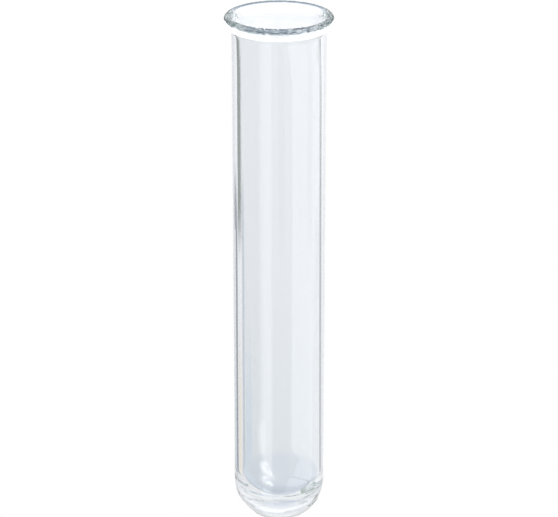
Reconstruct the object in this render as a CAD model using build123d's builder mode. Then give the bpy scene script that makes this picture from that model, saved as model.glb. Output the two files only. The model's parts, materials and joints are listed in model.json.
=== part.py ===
"""A rimmed laboratory test tube of clear borosilicate glass, 25 x 150 mm nominal size.

The frame: Z runs up the tube's axis, and the origin is the lowest point of the round bottom.
The real tube is one piece of glass. Its three formed zones are modelled as three solids that
meet face to face: the flared rim with its rounded lip, the drawn barrel, and the round bottom.
"""

from build123d import *

import os
from math import cos, radians, sin

# Driving dimensions, in millimetres and degrees.
outside_diameter = 25.7
wall = 1.9
overall_height = 150.0
bottom_thickness = 5.4  # on the axis, where the closed end gathered while the glass was soft
rim_diameter = 29.6
flare_angle = 33.0  # how far the rim's wall leans out from the vertical
bend_radius = 2.0  # outside of the bend between the barrel and the flare

# The barrel and its bore.
outer_radius = outside_diameter / 2
bore_radius = outer_radius - wall
dome_height = outer_radius  # where the outer hemisphere meets the straight side
bore_dome_height = bottom_thickness + bore_radius  # where the inner one meets the straight bore

# The rim: the wall bends round a centre outside the tube, runs straight along the flare, and
# ends in a fire-polished lip, a half circle as wide as the wall.
lean = radians(flare_angle)
lip_radius = wall / 2
lip_x = rim_diameter / 2 - lip_radius
lip_z = overall_height - lip_radius
bend_x = outer_radius + bend_radius
bend_reach = bend_radius + lip_radius  # from the bend's centre to the middle of the wall
flare_length = (lip_x - bend_x + bend_reach * cos(lean)) / sin(lean)
bend_z = lip_z - bend_reach * sin(lean) - flare_length * cos(lean)


def flare_end(offset):
    """A point beside the lip's centre, square to the flare: outside the wall if offset is positive."""
    return (lip_x + offset * cos(lean), lip_z - offset * sin(lean))


def bend_end(radius):
    """The end of a bend of that radius, where it runs into the flare."""
    return (bend_x - radius * cos(lean), bend_z + radius * sin(lean))


# The rim, bent outward from the barrel.
with BuildPart() as rim:
    with BuildSketch(Plane.XZ):
        with BuildLine():
            outside = TangentArc((outer_radius, bend_z), bend_end(bend_radius), tangent=(0, 1))
            Line(outside @ 1, flare_end(lip_radius))
            lip = ThreePointArc(
                flare_end(lip_radius),
                (lip_x + lip_radius * sin(lean), lip_z + lip_radius * cos(lean)),
                flare_end(-lip_radius),
            )
            inside = TangentArc((bore_radius, bend_z), bend_end(bend_radius + wall), tangent=(0, 1))
            Line(lip @ 1, inside @ 1)
            Line((bore_radius, bend_z), (outer_radius, bend_z))
        make_face()
    revolve(axis=Axis.Z)
rim.part.label = "rim"

# The barrel: a plain drawn tube, with the same bore all the way.
with BuildPart(Plane.XY.offset(bore_dome_height)) as barrel:
    Cylinder(
        outer_radius,
        bend_z - bore_dome_height,
        align=(Align.CENTER, Align.CENTER, Align.MIN),
    )
    Hole(bore_radius)
barrel.part.label = "barrel"

# The round bottom: two hemispheres, the inner one higher, so the glass thickens downward.
with BuildPart() as round_bottom:
    with BuildSketch(Plane.XZ):
        with BuildLine():
            dome = TangentArc((0, 0), (outer_radius, dome_height), tangent=(1, 0))
            seam = Polyline(
                dome @ 1,
                (outer_radius, bore_dome_height),
                (bore_radius, bore_dome_height),
            )
            hollow = TangentArc(seam @ 1, (0, bottom_thickness), tangent=(0, -1))
            Line(hollow @ 1, (0, 0))
        make_face()
    revolve(axis=Axis.Z)
round_bottom.part.label = "round_bottom"

os.makedirs("parts", exist_ok=True)
for piece in (rim, barrel, round_bottom):
    export_step(piece.part, f"parts/{piece.part.label}.step")
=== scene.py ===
"""A clear glass test tube on a white table, between studio cards that only its glass shows.

The tube is one lathed skin of glass, outside and inside in one closed surface, so that light
bends through it as it does through the real tube. Lengths are in metres, in the CAD's frame.
"""

import json
import math

import bpy
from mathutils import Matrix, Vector, noise


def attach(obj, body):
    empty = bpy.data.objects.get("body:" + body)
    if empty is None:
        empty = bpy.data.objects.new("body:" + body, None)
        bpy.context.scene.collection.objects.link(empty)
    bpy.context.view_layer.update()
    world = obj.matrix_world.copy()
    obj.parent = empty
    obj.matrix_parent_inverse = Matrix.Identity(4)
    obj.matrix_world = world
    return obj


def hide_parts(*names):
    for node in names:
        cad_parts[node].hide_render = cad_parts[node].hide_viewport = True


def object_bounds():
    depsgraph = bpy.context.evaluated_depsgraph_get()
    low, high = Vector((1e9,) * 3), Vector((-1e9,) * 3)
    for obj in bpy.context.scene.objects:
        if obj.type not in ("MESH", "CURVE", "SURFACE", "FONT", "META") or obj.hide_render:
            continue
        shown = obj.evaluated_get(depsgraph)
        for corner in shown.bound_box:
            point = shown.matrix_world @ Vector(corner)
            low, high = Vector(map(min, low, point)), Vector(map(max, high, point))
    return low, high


MM = 0.001

# ---------------------------------------------------------------- the frame and its dimensions
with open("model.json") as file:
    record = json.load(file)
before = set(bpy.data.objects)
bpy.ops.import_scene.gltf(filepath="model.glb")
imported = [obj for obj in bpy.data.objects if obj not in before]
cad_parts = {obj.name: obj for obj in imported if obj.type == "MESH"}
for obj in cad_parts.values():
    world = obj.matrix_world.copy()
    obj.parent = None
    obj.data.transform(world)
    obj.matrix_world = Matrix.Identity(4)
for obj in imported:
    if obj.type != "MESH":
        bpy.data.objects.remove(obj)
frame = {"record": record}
cad_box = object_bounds()

mounts = {mount["name"]: mount for mount in frame["record"]["mounts"]}
bore = mounts["mouth_bore"]
side = mounts["barrel_outside"]

bore_radius = bore["dims"]["r_mm"] * MM
bore_low = bore["pos_m"][2] - bore["dims"]["length_mm"] * MM / 2
outer_radius = side["dims"]["r_mm"] * MM
side_low = side["pos_m"][2] - side["dims"]["length_mm"] * MM / 2
bend_height = side["pos_m"][2] + side["dims"]["length_mm"] * MM / 2
wall = outer_radius - bore_radius
rim_radius = round(cad_box[1].x, 4)
top = round(cad_box[1].z, 4)
flare_lean = math.radians(33)
bend_radius = 2.0 * MM
bottom_thickness = bore_low - bore_radius
bore_shift = 0.25 * MM  # toward +X: the drawn wall is a little thinner on that side
lip_low = top - 2.6 * MM  # the melted part of the rim begins here
crest_low = top - 1.2 * MM


# ---------------------------------------------------------------- the glass
SEGMENTS = 480  # round the tube
SLOW_SWELL = 0.07 * MM  # of the lip, where its edge melted
QUICK_SWELL = 0.06 * MM
CREST_SWELL = 0.2 * MM  # between the chips
CHIP_DEPTH = 1.2 * MM  # times noise, which reaches about 0.6 on this lip
CHIP_SEED = 11.0

IOR = 1.473
TINT = (0.83, 0.841, 0.842)
DEEP_TINT = (0.0, 0.25, 0.22)
DEEP_DENSITY = 0.35
LINE_DEPTH = 0.0022 * MM  # of the draw lines
GRAIN_DEPTH = 0.3 * MM  # of the lip's grain, which the render shows but the mesh doesn't have

# Painted shade: dark bands in the lip's colour, standing in for the dark surroundings that the rounded
# lip bends into view, by the angle round the lip's section: 0 is downward, 1/3 outward, 2/3 upward and 1
# inward.
LIP_SHADE_BANDS = (
    (0.0, (0.95, 0.97, 0.98)),
    (0.17, (0.95, 0.97, 0.98)),
    (0.23, (0.70, 0.76, 0.80)),
    (0.28, (0.48, 0.55, 0.61)),
    (0.34, (0.15, 0.20, 0.25)),
    (0.39, (0.0, 0.01, 0.02)),
    (0.45, (0.34, 0.41, 0.47)),
    (0.53, (0.26, 0.32, 0.37)),
    (0.60, (0.01, 0.02, 0.04)),
    (0.66, (0.06, 0.09, 0.12)),
    (0.79, (0.14, 0.19, 0.23)),
    (0.86, (0.95, 0.97, 0.98)),
)
# The lip's painted colours: clear glass for its painted highlights, green-grey for its painted grainy
# shade, near-black for its painted shade flecks.
CLEAR = (1.0, 1.0, 1.0)
GREENISH = (0.24, 0.32, 0.31)
NEAR_BLACK = (0.01, 0.02, 0.03)


def arc(centre, reach, first, last, steps):
    """Points (radius, height) on a circle, between two angles in radians."""
    points = []
    for i in range(steps + 1):
        angle = first + (last - first) * i / steps
        points.append((centre[0] + reach * math.cos(angle), centre[1] + reach * math.sin(angle)))
    return points


def between(start, end, steps):
    """Points strictly between two ends."""
    points = []
    for i in range(1, steps):
        share = i / steps
        points.append(tuple(a + (b - a) * share for a, b in zip(start, end)))
    return points


def profile():
    """The wall's section, from the lowest point outside, over the lip, to the lowest point inside."""
    down, level = -math.pi / 2, 0
    lip = (rim_radius - wall / 2, top - wall / 2)
    bend = (outer_radius + bend_radius, bend_height)
    dome = arc((0, side_low), outer_radius, down, level, steps=48)
    outer_bend = arc(bend, bend_radius, math.pi, math.pi - flare_lean, steps=8)
    lip_round = arc(lip, wall / 2, -flare_lean, math.pi - flare_lean, steps=24)
    inner_bend = arc(bend, bend_radius + wall, math.pi - flare_lean, math.pi, steps=10)
    hollow = arc((0, bore_low), bore_radius, level, down, steps=48)
    return (
        dome
        + between(dome[-1], outer_bend[0], steps=2)
        + outer_bend
        + between(outer_bend[-1], lip_round[0], steps=4)
        + lip_round
        + between(lip_round[-1], inner_bend[0], steps=4)
        + inner_bend
        + between(inner_bend[-1], hollow[0], steps=24)
        + hollow
    )


def smooth(value, low, high):
    """0 below low, 1 above high, and an easy curve between."""
    share = min(1.0, max(0.0, (value - low) / (high - low)))
    return share * share * (3 - 2 * share)


def inner_shift(radius, height):
    """How far a point of the section is moved toward +X: the bore's skin only, and less and less
    over its last stretch below the bend."""
    slack, stretch = 0.3 * MM, 10 * MM
    if radius > bore_radius + slack or height < bottom_thickness / 2:
        return 0.0
    return bore_shift * (1 - smooth(height, bend_height - stretch, bend_height))


def ripple(height, angle):
    """How far the fire-polished lip swells (along the radius, upward), from the uneven melting
    of its edge: soft all round, with small chips melted over on the -Y side."""
    share = smooth(height, lip_low, top - 1.4 * MM)
    if share == 0:
        return 0.0, 0.0
    x, y = math.cos(angle), math.sin(angle)
    slow = SLOW_SWELL * noise.noise(Vector((6 * x, 6 * y, height * 400)))
    quick = QUICK_SWELL * noise.noise(Vector((30 * x, 30 * y, height * 900)))
    chip = CHIP_DEPTH * max(0.0, noise.noise(Vector((23 * x, 23 * y, CHIP_SEED))))
    on_crest = smooth(height, crest_low, top - 0.2 * MM) * smooth(-y, 0.0, 0.6)
    return share * (slow + quick), share * quick + on_crest * (CREST_SWELL - chip)


def lathe(name, section):
    """A closed skin: the section, which starts and ends on the axis, turned round Z."""
    ring_points = section[1:-1]
    vertices = [(0, 0, section[0][1])]
    for radius, height in ring_points:
        shift = inner_shift(radius, height)
        for i in range(SEGMENTS):
            angle = math.tau * i / SEGMENTS
            outward, upward = ripple(height, angle)
            reach = radius + outward
            x, y = shift + reach * math.cos(angle), reach * math.sin(angle)
            vertices.append((x, y, height + upward))
    vertices.append((bore_shift, 0, section[-1][1]))
    last = len(vertices) - 1
    starts = [1 + ring * SEGMENTS for ring in range(len(ring_points))]
    faces = []
    for i in range(SEGMENTS):
        after = (i + 1) % SEGMENTS
        faces.append((0, 1 + after, 1 + i))
        for low, high in zip(starts, starts[1:]):
            faces.append((low + i, low + after, high + after, high + i))
        faces.append((starts[-1] + i, starts[-1] + after, last))
    mesh = bpy.data.meshes.new(name)
    mesh.from_pydata(vertices, [], faces)
    mesh.shade_smooth()
    made = bpy.data.objects.new(name, mesh)
    bpy.context.scene.collection.objects.link(made)
    return made


class Nodes:
    """Short ways to add nodes to a material or a world. A value is a socket, a number, or a colour
    as red, green and blue."""

    def __init__(self, owner):
        owner.use_nodes = True
        self.nodes = owner.node_tree.nodes
        self.links = owner.node_tree.links

    def feed(self, socket, value):
        if isinstance(value, bpy.types.NodeSocket):
            self.links.new(value, socket)
        elif isinstance(value, tuple):
            socket.default_value = (*value, 1)
        else:
            socket.default_value = value

    def new(self, kind, **values):
        """A new node, with these values for the inputs whose names have _ for a space."""
        node = self.nodes.new(kind)
        for name, value in values.items():
            self.feed(node.inputs[name.replace("_", " ")], value)
        return node

    def calc(self, operation, first, second=0.0):
        node = self.nodes.new("ShaderNodeMath")
        node.operation = operation
        self.feed(node.inputs[0], first)
        self.feed(node.inputs[1], second)
        return node.outputs["Value"]

    def share(self, value, low, high, interpolation="SMOOTHSTEP"):
        """0 at low and 1 at high, with low above high where it falls as the value rises."""
        node = self.new("ShaderNodeMapRange", Value=value, From_Min=low, From_Max=high)
        node.interpolation_type = interpolation
        return node.outputs["Result"]

    def noise(self, vector, scale, detail):
        return self.new("ShaderNodeTexNoise", Vector=vector, Scale=scale, Detail=detail).outputs["Fac"]

    def mixed(self, share, first, second):
        """The first colour where share is 0, and the second where it is 1."""
        node = self.nodes.new("ShaderNodeMix")
        node.data_type = "RGBA"
        for name, value in (("Factor", share), ("A", first), ("B", second)):
            self.feed(node.inputs[name], value)
        return node.outputs["Result"]

    def ramp(self, share, stops):
        """A colour for each share, between (share, colour) stops. A new ramp has two stops, of
        which the first is reused."""
        node = self.new("ShaderNodeValToRGB", Fac=share)
        elements = node.color_ramp.elements
        elements.remove(elements[1])
        for i, (position, colour) in enumerate(stops):
            stop = elements[0] if i == 0 else elements.new(position)
            stop.position = position
            stop.color = (*colour, 1)
        return node.outputs["Color"]

    def place(self, space="Object"):
        """The place in this space, as a vector and as x, y and z."""
        vector = self.nodes.new("ShaderNodeTexCoord").outputs[space]
        parts = self.new("ShaderNodeSeparateXYZ", Vector=vector).outputs
        return vector, parts["X"], parts["Y"], parts["Z"]


def draw_lines(tree, vector):
    """The normal of the drawn glass, with faint lines along the tube."""
    stretched = tree.new("ShaderNodeMapping", Vector=vector)
    stretched.inputs["Scale"].default_value = (1, 1, 0.012)
    lines = tree.noise(stretched.outputs["Vector"], scale=900, detail=2)
    bump = tree.new("ShaderNodeBump", Strength=0.25, Distance=LINE_DEPTH, Height=lines)
    return bump.outputs["Normal"]


def round_lip(tree, x, y, z):
    """Where a point of the lip is, as its angle round the tube and its angle round the section."""
    squares = tree.calc("ADD", tree.calc("MULTIPLY", x, x), tree.calc("MULTIPLY", y, y))
    outward = tree.calc("SUBTRACT", tree.calc("SQRT", squares), rim_radius - wall / 2)
    upward = tree.calc("SUBTRACT", z, top - wall / 2)
    return tree.calc("ARCTAN2", x, y), tree.calc("ARCTAN2", upward, outward)


def lip_painted_shade(tree, x, y, z, grain):
    """The lip's colour, mostly painted shade and painted highlights: grainy green-grey shade at the
    sides, dark bands, dark flecks and clear glints along the front, and one dark band on the crest at
    the back."""
    turn, roll = round_lip(tree, x, y, z)
    lip_map = tree.new("ShaderNodeCombineXYZ")
    tree.feed(lip_map.inputs["X"], tree.calc("MULTIPLY", turn, 6.0))
    tree.feed(lip_map.inputs["Y"], tree.calc("MULTIPLY", roll, 2.5))
    streaks = tree.noise(lip_map.outputs["Vector"], scale=1.0, detail=3)
    flecks = tree.noise(lip_map.outputs["Vector"], scale=2.6, detail=2)

    rolled = tree.calc("ADD", tree.calc("MULTIPLY", roll, 1 / (1.5 * math.pi)), 1 / 3)
    wavering = tree.calc("ADD", rolled, tree.calc("MULTIPLY", tree.calc("SUBTRACT", streaks, 0.5), 0.11))
    # Painted shade: dark bands round the lip's section, wavering along it.
    bands = tree.ramp(wavering, LIP_SHADE_BANDS)
    # Painted shade: grainy green-grey patches at the sides.
    greenish_grain_shade = tree.mixed(tree.share(grain, 0.47, 0.53), GREENISH, CLEAR)
    # Painted shade: near-black flecks over the bands.
    bands_and_shade_flecks = tree.mixed(tree.share(flecks, 0.57, 0.62), bands, NEAR_BLACK)
    # Painted highlights: clear glints over the bands and flecks, more of them on the right front.
    painted_glint_side = tree.calc("MULTIPLY", tree.share(x, 1 * MM, 8 * MM), tree.share(rolled, 0.58, 0.54))
    glints = tree.calc("ADD", streaks, tree.calc("MULTIPLY", painted_glint_side, 0.13))
    shade_flecks_and_glints = tree.mixed(tree.share(glints, 0.57, 0.63), bands_and_shade_flecks, CLEAR)
    # Painted shade: the dark band on the crest at the back.
    crest_shade_band = tree.mixed(tree.share(rolled, 0.56, 0.6), CLEAR, bands)
    front = tree.share(y, -9 * MM, -12.5 * MM)
    back = tree.share(y, 3 * MM, 8 * MM)
    return tree.mixed(back, tree.mixed(front, greenish_grain_shade, shade_flecks_and_glints), crest_shade_band)


def glass_material():
    """Clear glass: draw lines down the barrel, a grainy melted lip whose colour is painted shade and
    painted highlights, and a tint that shows most where light runs a long way inside the wall."""
    material = bpy.data.materials.new("clear_glass")
    tree = Nodes(material)
    vector, x, y, z = tree.place()
    grain = tree.noise(vector, scale=1700, detail=2)
    on_lip = tree.share(z, lip_low, top - 1.9 * MM)
    uneven = tree.calc("MULTIPLY", on_lip, tree.share(y, 5 * MM, 0))
    melted = tree.new(
        "ShaderNodeBump",
        Strength=1.0,
        Distance=GRAIN_DEPTH,
        Height=tree.calc("MULTIPLY", grain, uneven),
        Normal=draw_lines(tree, vector),
    )

    shader = tree.nodes["Principled BSDF"]
    shader.inputs["Roughness"].default_value = 0.0
    shader.inputs["IOR"].default_value = IOR
    shader.inputs["Transmission Weight"].default_value = 1.0
    # On the lip, the glass's tint gives way to painted shade and painted highlights.
    tree.feed(shader.inputs["Base Color"], tree.mixed(on_lip, TINT, lip_painted_shade(tree, x, y, z, grain)))
    tree.feed(shader.inputs["Normal"], melted.outputs["Normal"])

    depth = tree.new("ShaderNodeVolumeAbsorption", Color=DEEP_TINT, Density=DEEP_DENSITY)
    tree.feed(tree.nodes["Material Output"].inputs["Volume"], depth.outputs["Volume"])
    return material


tube = lathe("glass_tube", profile())
tube.data.materials.append(glass_material())
tube.visible_shadow = False
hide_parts("rim", "barrel", "round_bottom")
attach(tube, "root")


# ---------------------------------------------------------------- the studio
CARD_DISTANCE = 6
EYE_LEVEL = 0.08  # the height that a card's elevation angles are measured from
REACH = 40  # of the white table and backdrop
WHITE = (1, 1, 1)

# Kinds of light path, and which of them each sort of card is clear to. From the camera, light is
# refracted twice on its way through one wall or through the thick bottom, and four times on its
# way through both walls.
UNMIRRORED = ("Glossy Depth", "LESS_THAN", 0.5)
MIRRORED = ("Glossy Depth", "GREATER_THAN", 0.5)
MIRRORED_AGAIN = ("Glossy Depth", "GREATER_THAN", 1.5)
ONE_WALL = ("Transmission Depth", "LESS_THAN", 2.5)
BOTH_WALLS = ("Transmission Depth", "GREATER_THAN", 2.5)
CLEAR_TO = {
    "all": (),
    "edges": (UNMIRRORED, BOTH_WALLS),
    "base": (MIRRORED, BOTH_WALLS),
    "through": (MIRRORED, ONE_WALL),
    "bowl": (UNMIRRORED, MIRRORED_AGAIN, ONE_WALL),
}


def emitter(name, colour, strength=1.0):
    """A material that gives light and reflects none."""
    material = bpy.data.materials.new(name)
    tree = Nodes(material)
    tree.nodes.clear()
    glow = tree.new("ShaderNodeEmission", Color=colour, Strength=strength)
    output = tree.nodes.new("ShaderNodeOutputMaterial")
    output.name = "Material Output"
    tree.feed(output.inputs["Surface"], glow.outputs["Emission"])
    return material


def stage_mesh(name, vertices, faces, material):
    """A mesh of the studio, which is no part of the object."""
    mesh = bpy.data.meshes.new(name)
    mesh.from_pydata(vertices, [], faces)
    mesh.materials.append(material)
    made = bpy.data.objects.new(name, mesh)
    bpy.context.scene.collection.objects.link(made)
    return made


def seen_only_by(thing, camera=False, glossy=False, transmission=False):
    """Hides a piece of the studio from every other kind of ray. It casts no shadow."""
    thing.visible_camera = camera
    thing.visible_glossy = glossy
    thing.visible_transmission = transmission
    thing.visible_diffuse = False
    thing.visible_volume_scatter = False
    thing.visible_shadow = False


def far_height(lift):
    """The height, at the cards' distance, of a line that leaves the tube at this angle in degrees."""
    return EYE_LEVEL + CARD_DISTANCE * math.tan(math.radians(lift))


def at_turn(reach, angle, height):
    """The point at this reach from the tube's axis, at an angle in radians from +X."""
    return reach * math.cos(angle), reach * math.sin(angle), height


def surface_of(tree):
    """A stage material's surface: the socket that it goes into, and the one it comes from now."""
    socket = tree.nodes["Material Output"].inputs["Surface"]
    return socket, socket.links[0].from_socket


def nothing(tree):
    """A surface that light goes straight through."""
    return tree.nodes.new("ShaderNodeBsdfTransparent").outputs["BSDF"]


def make_clear(tree, share):
    """Makes a card's surface clear where share, a socket, is 1."""
    surface, shown = surface_of(tree)
    mix = tree.nodes.new("ShaderNodeMixShader")
    for i, value in enumerate((share, shown, nothing(tree))):
        tree.feed(mix.inputs[i], value)
    tree.feed(surface, mix.outputs["Shader"])


def add_to_background(tree):
    """Lets a card's light add to what is behind it."""
    surface, shown = surface_of(tree)
    both = tree.nodes.new("ShaderNodeAddShader")
    for i, value in enumerate((shown, nothing(tree))):
        tree.feed(both.inputs[i], value)
    tree.feed(surface, both.outputs["Shader"])


def card(name, turn, lift, colour, strength=1.0, fade=None, lean=0, seen="all", veil=False):
    """A curved card round the tube, that the tube's glass shows but the camera doesn't. turn:
    degrees from +Y, positive to the left (anticlockwise from above); lift: degrees above the
    horizon; fade: where it begins and ends to dissolve; lean: how far its foot is turned, in
    degrees; seen: at the tube's "edges" (mirrored inside one wall), "through" both walls, through
    the thick "base" alone, in the "bowl" (mirrored by the far side of the bore) or "all"; veil: it
    adds to the light behind it."""
    steps, vertices, faces = 6, [], []
    for i in range(steps + 1):
        for rise, further in zip(lift, (lean, 0)):
            angle = math.radians(90 + turn[0] + (turn[1] - turn[0]) * i / steps + further)
            vertices.append(at_turn(CARD_DISTANCE, angle, far_height(rise)))
    for i in range(steps):
        faces.append((2 * i, 2 * i + 2, 2 * i + 3, 2 * i + 1))
    material = emitter(name, colour, strength)
    tree = Nodes(material)
    if fade:
        height = tree.place()[3]
        make_clear(tree, tree.share(height, far_height(fade[0]), far_height(fade[1])))
    if veil:
        add_to_background(tree)
    for depth, operation, limit in CLEAR_TO[seen]:
        path = tree.nodes.new("ShaderNodeLightPath")
        make_clear(tree, tree.calc(operation, path.outputs[depth], limit))
    seen_only_by(stage_mesh(name, vertices, faces, material), transmission=True)


def round_band(name, first, second, material, sides):
    """A band right round the tube, between two circles, each as (radius, height)."""
    vertices, faces = [], []
    for i in range(sides):
        after = (i + 1) % sides
        for reach, height in (first, second):
            vertices.append(at_turn(reach, math.tau * i / sides, height))
        faces.append((2 * i, 2 * after, 2 * after + 1, 2 * i + 1))
    return stage_mesh(name, vertices, faces, material)


def light_ring(stops, levels, gain=1.3):
    """A ring of studio light round the tube, that only its outer skin mirrors: (turn, strength)
    stops, in degrees anticlockwise from +Y, and (lift, share) levels up its height."""
    brightest = max(strength for _, strength in stops)
    material = emitter("light_ring", WHITE)
    tree = Nodes(material)
    vector, _, _, height = tree.place()
    turned = tree.new("ShaderNodeMapping", Vector=vector)
    turned.inputs["Rotation"].default_value = (0, 0, math.radians(90))
    round_it = tree.new("ShaderNodeTexGradient", Vector=turned.outputs["Vector"])
    round_it.gradient_type = "RADIAL"
    by_turn = [(degrees / 360, (strength / brightest,) * 3) for degrees, strength in stops]
    glow = tree.nodes["Emission"]
    tree.feed(glow.inputs["Color"], tree.ramp(round_it.outputs["Fac"], by_turn))

    low, high = far_height(levels[0][0]), far_height(levels[-1][0])
    up_it = tree.share(height, low, high, "LINEAR")
    by_lift = [((far_height(lift) - low) / (high - low), (share,) * 3) for lift, share in levels]
    total = tree.calc("MULTIPLY", tree.ramp(up_it, by_lift), gain * brightest)
    tree.feed(glow.inputs["Strength"], total)

    foot, head = -12, 3
    ring = round_band("light_ring", (CARD_DISTANCE, foot), (CARD_DISTANCE, head), material, sides=72)
    seen_only_by(ring, glossy=True)


def flare_glow():
    """A bright collar just under the rim, that the flare's outer skin mirrors."""
    gap, overhang, rise = 0.5 * MM, 3 * MM, 1.1 * MM
    height = bend_height + rise
    inside, outside = (outer_radius + gap, height), (rim_radius + overhang, height)
    glow = emitter("flare_glow", WHITE, strength=5)
    collar = round_band("flare_glow", inside, outside, glow, sides=48)
    seen_only_by(collar, glossy=True)


def white_room():
    """A white table and backdrop for the camera alone: the glass sees the cards and the world."""
    white = emitter("white", WHITE)
    corners = [(-REACH, -REACH, 0), (REACH, -REACH, 0), (REACH, REACH, 0), (-REACH, REACH, 0)]
    seen_only_by(stage_mesh("white_table", corners, [(0, 1, 2, 3)], white), camera=True)
    bpy.ops.mesh.primitive_uv_sphere_add(segments=48, ring_count=24, radius=REACH)
    backdrop = bpy.context.object
    backdrop.name = "white_backdrop"
    backdrop.data.materials.append(white)
    seen_only_by(backdrop, camera=True)


def studio_world(stops, strength=1.2):
    """The room's light, by the height (-1 to 1) of the direction that it comes from."""
    world = bpy.data.worlds.new("studio")
    tree = Nodes(world)
    up = tree.place("Generated")[3]
    by_height = [((height + 1) / 2, colour) for height, colour in stops]
    background = tree.nodes["Background"]
    tree.feed(background.inputs["Color"], tree.ramp(tree.share(up, -1, 1, "LINEAR"), by_height))
    background.inputs["Strength"].default_value = strength
    bpy.context.scene.world = world


white_room()
studio_world(
    stops=(
        (-1.0, (0.80, 0.86, 0.98)),
        (-0.8, (0.52, 0.565, 0.66)),
        (-0.62, (0.73, 0.77, 0.855)),
        (-0.43, (0.86, 0.889, 0.925)),
        (-0.37, (0.95, 0.962, 1.0)),
        (-0.27, (1.0, 1.011, 1.051)),
        (0.25, (1.0, 1.011, 1.051)),
        (0.36, (0.77, 0.784, 0.82)),
        (0.5, (0.90, 0.91, 0.92)),
        (0.7, (0.84, 0.86, 0.88)),
        (1.0, (0.93, 0.95, 0.97)),
    ),
)

# The dark lines down the tube's edges and the finer ones beside the left edge. The dome shows
# right_flag_high.
card("left_flag", (37.5, 58), (-22.5, 10), (0.36, 0.39, 0.37), fade=(-19.7, -22), seen="edges")
card("left_stand", (22, 34), (-35, -19), (0.38, 0.40, 0.44), fade=(-20.5, -19.5), seen="edges")
card("left_line", (15, 31), (-20.7, -18.2), (0.45, 0.47, 0.53), fade=(-20, -18.2), seen="edges")
card("left_stand_far", (22, 30), (-35, -17.5), (0.62, 0.68, 0.80), fade=(-20.5, -18.5), seen="through")
card("right_flag", (-65, -52), (-35, -8), (0.52, 0.54, 0.56), lean=36, seen="edges")
card("right_flag_high", (-54, -45), (-8, 10), (0.46, 0.48, 0.49), seen="edges")

# Faint tints and lights low in the tube, and at the sides of the rim.
card("right_board", (-28, -13.5), (-35, -19), (1.06, 1.077, 1.12), fade=(-21.5, -19.5), seen="through")
card("beige_board", (37, 53), (-60, -22.5), (1.10, 1.04, 0.95), fade=(-25, -22.5), seen="edges")
card("blue_board", (11, 19), (-60, -22.5), (0.90, 1.0, 1.12), fade=(-26, -22.5))
card("left_softbox_low", (130, 160), (-60, -18), WHITE, 1.9, fade=(-26, -18), seen="edges")
card("right_softbox_low", (206, 280), (-60, -18), WHITE, 1.9, fade=(-26, -18), seen="edges")

# The highlight in the bowl.
card("tall_softbox", (192, 226), (-8, 71), WHITE, 4.5, fade=(8, -8), lean=34, seen="bowl")
card("tall_softbox_core", (198, 219), (-4, 67), WHITE, 7, fade=(12, -4), lean=34, seen="bowl", veil=True)
card("tall_softbox_foot", (227, 249), (-45, -25.2), WHITE, 3.0, fade=(-26.2, -25.2), seen="bowl")

# The greys of the thick bottom.
card("base_haze", (-80, 80), (-15, 19), (0.89, 0.905, 0.925), fade=(-8, -15), seen="base")
card("base_flag", (72, 135), (28, 70), (0.47, 0.55, 0.51), fade=(50, 70))

# A lighter stretch down the right of the barrel.
card("right_veil", (-24, -0.95), (-65, -14), (1, 1.014, 1.06), 0.095, seen="through", veil=True)
card("right_edge_veil", (-24, -8), (-29, -14), (1, 1.014, 1.06), 0.035, seen="through", veil=True)

# The dark lines down the edges, as the tube's other sides show them.
card("far_left_flag", (122, 138), (-12, 10), (0.4, 0.42, 0.42), fade=(-9, -12), seen="edges")
card("camera_flag", (174, 192), (-22, 10), (0.4, 0.42, 0.42), fade=(-20, -22), seen="edges")
card("far_right_flag", (258, 276), (-22, 10), (0.4, 0.42, 0.42), fade=(-20, -22), seen="edges")

light_ring(
    stops=(
        (0, 0.9),
        (16, 0.8),
        (23, 0.5),
        (32, 0.05),
        (125, 0.05),
        (131, 0.6),
        (136, 1.4),
        (146, 2.0),
        (160, 2.0),
        (163, 0.9),
        (300, 0.9),
        (325, 0.4),
        (340, 0.8),
        (360, 0.9),
    ),
    levels=((-45, 0.35), (-31, 0.5), (-27.5, 1.0), (-17, 0.77), (-12, 0.25)),
)
flare_glow()


# ---------------------------------------------------------------- the camera
ELEVATION = math.radians(21.7)
DISTANCE = 0.735
LENS = 170.5  # mm, as is the sensor
SENSOR = 36
AIM = Vector((0, 0, 0.07967))
BOUNCES = 160  # light runs a long way inside the wall

camera = bpy.data.objects.new("camera", bpy.data.cameras.new("camera"))
bpy.context.scene.collection.objects.link(camera)
camera.data.lens = LENS
camera.data.sensor_width = SENSOR
back = Vector((0, -math.cos(ELEVATION), math.sin(ELEVATION)))
camera.location = AIM + back * DISTANCE
camera.rotation_euler = (-back).to_track_quat("-Z", "Y").to_euler()
camera.data.clip_start = 0.01
camera.data.clip_end = 100
bpy.context.scene.camera = camera

scene = bpy.context.scene
scene.view_settings.view_transform = "Standard"
scene.cycles.max_bounces = BOUNCES
scene.cycles.transmission_bounces = BOUNCES
scene.cycles.glossy_bounces = BOUNCES
